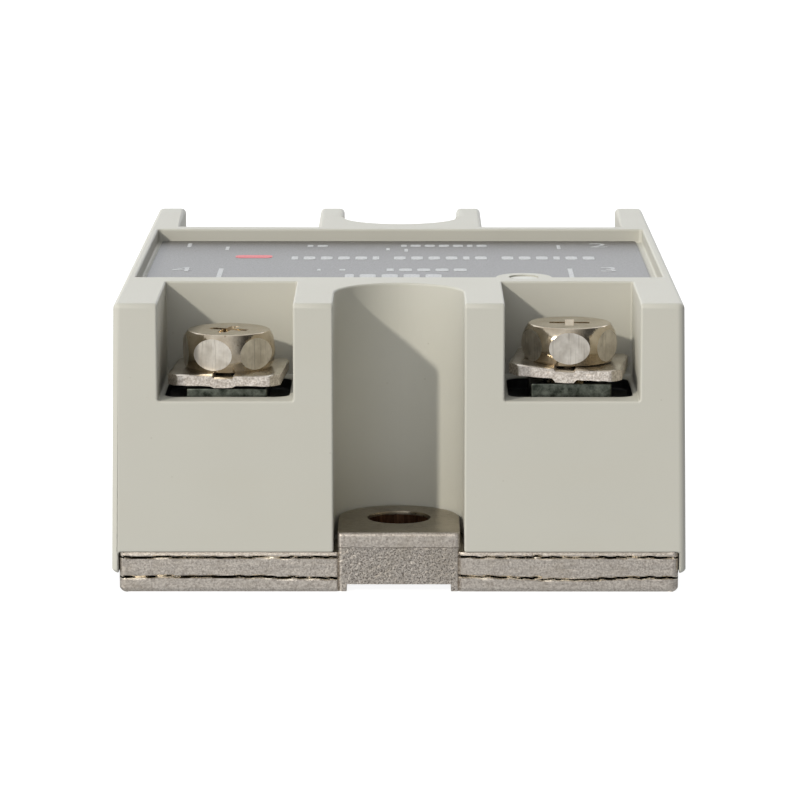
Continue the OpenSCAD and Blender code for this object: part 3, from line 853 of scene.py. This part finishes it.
def inkBar(name, x0, x1, y0, y1, finish):
    mark = addBlock(name, (x0, y0, inkZ), (x1, y1, inkZ + label["inkT"]))
    roundEdges(mark, lambda e: along(e, 2), min(x1 - x0, y1 - y0) * label["inkCorner"], 3)
    mark.data.materials.append(finish)
    return mark


def inkNumeral(char, x, y):
    pickNone()
    bpy.ops.object.text_add()
    mark = bpy.context.object
    mark.data.body = char
    mark.data.size = marks["numeralSize"] * mm
    mark.data.extrude = label["inkT"] / 2 * mm
    mark.data.align_x, mark.data.align_y = "CENTER", "CENTER"
    bpy.ops.object.convert(target="MESH")
    mark = bpy.context.object
    moveMesh(mark, (x, y, inkZ + label["inkT"] / 2))
    mark.data.materials.append(finishes["whiteInk"])
    return mark


whites = [inkNumeral(c, *at) for c, at in marks["numerals"].items()]
whites += [inkBar("tick", *at, finishes["whiteInk"]) for at in marks["bars"]]
for row in marks["blocks"]:  # blank blocks where lines of print would be
    x = row["from"]
    for i in range(row["count"]):
        wide = row["wide"] * (1 if i % 5 else marks["narrow"])
        whites.append(inkBar("block", x, x + wide, *row["y"], finishes["whiteInk"]))
        x += wide + row["gap"] * (marks["wordGap"] if i % row["word"] == row["word"] - 1 else 1)
pickNone()
for mark in whites:
    mark.select_set(True)
bpy.context.view_layer.objects.active = whites[0]
bpy.ops.object.join()
printed = bpy.context.object
printed.name = "label_print"
red = inkBar("label_red_mark", *marks["red"], finishes["redInk"])
for mark in (printed, red):
    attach(mark, "relay_body")
print("label made")

guide = addRod("light_guide", guideX, guideY, guideLow.z, guideHigh.z, guideR, 72)
roundEdges(guide, lambda e: atLevel(e, 2, guideHigh.z), 0.15, 4)
shadeByAngle(guide, 40)
handIn(guide, "relay_body", finishes["guide"], "light_pipe", "light_pipe")

hidden = {
    # glass epoxy board under green solder resist: a faint weave in a soft gloss
    "circuit_board": hiddenGoods("solderResist", "#2F6A45", "#3C7A52", 0.6, 0.35),
    # white moulding epoxy: fine, dry and even
    "optocoupler": hiddenGoods("epoxyMoulding", "#D9D6CC", "#E6E4DB", 0.2, 0.55),
    # dipped blue lacquer of a film resistor: glossy and slightly uneven
    "input_resistor": hiddenGoods("resistorLacquer", "#8FB0C6", "#A7C3D4", 0.7, 0.3),
    # tan cement of a carbon resistor: grainy, low gloss
    "gate_resistor": hiddenGoods("resistorCement", "#C2AE86", "#D2C19C", 0.5, 0.5),
    # flameproof coating, sprayed and baked: grey green and dull
    "snubber_resistor": hiddenGoods("flameproofCoat", "#A9B9A5", "#BCCAB7", 0.4, 0.6),
    # dipped epoxy of a film capacitor: rounded red gloss
    "snubber_capacitor": hiddenGoods("capacitorCase", "#A5392D", "#B94C3E", 0.8, 0.35),
    # cast diffusing resin of the lamp: milky yellow, smooth
    "indicator_lamp": hiddenGoods("lampResin", "#E2DCBE", "#EFEACF", 0.5, 0.2),
    # fired alumina: white, fine and dry
    "ceramic_insulator": hiddenGoods("firedAlumina", "#E4E1DA", "#F1EFEA", 0.15, 0.6),
    # bare rolled copper: warm metal, slightly clouded
    "copper_pads": hiddenGoods("bareCopper", "#B5683C", "#CF8558", 0.5, 0.35, 1.0),
    # silicon chip with an evaporated metal face: cool and smooth
    "thyristor_1": hiddenGoods("metallisedSilicon", "#6D727B", "#8B9099", 0.3, 0.2, 1.0),
    # drawn copper wire, hot tinned: pale and bright
    "gate_leads": hiddenGoods("tinnedWire", "#BDBBB3", "#D4D2CB", 0.3, 0.3, 1.0),
    # poured filled epoxy: black, self levelled, cloudy
    "potting_compound": hiddenGoods("castResin", "#2B2B2D", "#3B3B3E", 1.5, 0.4),
}
hidden["thyristor_2"] = hidden["thyristor_1"]
hidden["cathode_clip_1"] = hidden["cathode_clip_2"] = hidden["copper_pads"]
for nodeName, finish in hidden.items():
    slots = frame["nodes"][nodeName].data.materials
    slots.clear()
    slots.append(finish)
print("hidden pieces finished")

# how bright the room is on each side, and the floor's width in metres
studio = {"front": 1.15, "back": 1.85, "under": 0.68, "right": 0.1, "overhead": 0.8, "floor": 6.0}

pickNone()
bpy.ops.mesh.primitive_plane_add(size=studio["floor"], location=(0, 0, 0))
floor = bpy.context.object
floor.name = "studio_floor"
made, tree, surface, place = newMaterial("paperSweep", Roughness=0.8)  # seamless background paper
fibre = addNode(tree, "ShaderNodeTexNoise", None, Vector=place, Scale=perMetre(1.5), Detail=2.0)
paper = blendColours(tree, fibre.outputs["Fac"], linear("#787877"), linear("#7C7C7B"))
tree.links.new(paper, surface.inputs["Base Color"])
surface.inputs["Emission Color"].default_value = (1, 1, 1, 1)  # lit from below, as a cut-out table is
surface.inputs["Emission Strength"].default_value = 0.9
floor.data.materials.append(made)
floor.visible_diffuse = False
floor.visible_glossy = False

room = bpy.data.worlds.new("studio")
bpy.context.scene.world = room
room.use_nodes = True
tree = room.node_tree
toward = addNode(tree, "ShaderNodeSeparateXYZ", None,
                 Vector=addNode(tree, "ShaderNodeTexCoord").outputs["Generated"])
dimmed = grade(tree, toward.outputs["X"], 0.0, 0.55, studio["front"], studio["front"] * studio["right"])
behind = addNode(tree, "ShaderNodeMix", {"data_type": "FLOAT"}, i2=dimmed, i3=studio["back"],
                 i0=grade(tree, toward.outputs["Y"], 0.3, 0.97, 0.0, 1.0)).outputs[0]
below = grade(tree, toward.outputs["Z"], -0.15, 0.02, 0.0, 1.0)
glow = addNode(tree, "ShaderNodeMix", {"data_type": "FLOAT"}, i0=below, i2=studio["under"], i3=behind)
dome = addNode(tree, "ShaderNodeMath", {"operation": "MULTIPLY"}, i0=glow.outputs[0],
               i1=grade(tree, toward.outputs["Z"], 0.35, 0.85, 1.0, studio["overhead"]))
seen = addNode(tree, "ShaderNodeMix", {"data_type": "FLOAT"}, i3=1.0,
               i0=addNode(tree, "ShaderNodeLightPath").outputs["Is Camera Ray"], i2=dome.outputs[0])
tree.nodes["Background"].inputs["Color"].default_value = linear("#F5F8FD")
tree.links.new(seen.outputs[0], tree.nodes["Background"].inputs["Strength"])

lights = {
    # place in mm, width in mm, power in W, colour
    "key": ((-555, -694, 475), 45, 5.6, "#FFFBF2"),
    "top": ((0, 60, 900), 700, 0.1, "#EEF4FF"),
    "rim": ((500, 800, 420), 500, 1.1, "#FFFFFF"),
}
for name, (at, size, power, tint) in lights.items():
    pickNone()
    bpy.ops.object.light_add(type="AREA", location=Vector(at) * mm)
    lamp = bpy.context.object
    lamp.name = name + "_light"
    lamp.data.shape = "DISK"
    lamp.data.size = size * mm
    lamp.data.energy = power
    lamp.data.color = linear(tint)[:3]
    lamp.rotation_euler = (Vector((0, 0, 0.012)) - lamp.location).to_track_quat("-Z", "Y").to_euler()

camera = {"lens": 180.1, "at": (0.80, -341.2, 70.05), "pitch": 9.94, "yaw": -0.13}
bpy.ops.object.camera_add(location=Vector(camera["at"]) * mm)
eye = bpy.context.object
eye.data.lens = camera["lens"]
eye.data.sensor_width = 36
eye.data.clip_start = 0.01
eye.data.clip_end = 20
eye.rotation_euler = (math.radians(90 - camera["pitch"]), 0, math.radians(-camera["yaw"]))
bpy.context.scene.camera = eye
bpy.context.scene.view_settings.view_transform = "Standard"
pickNone()

print("studio made")
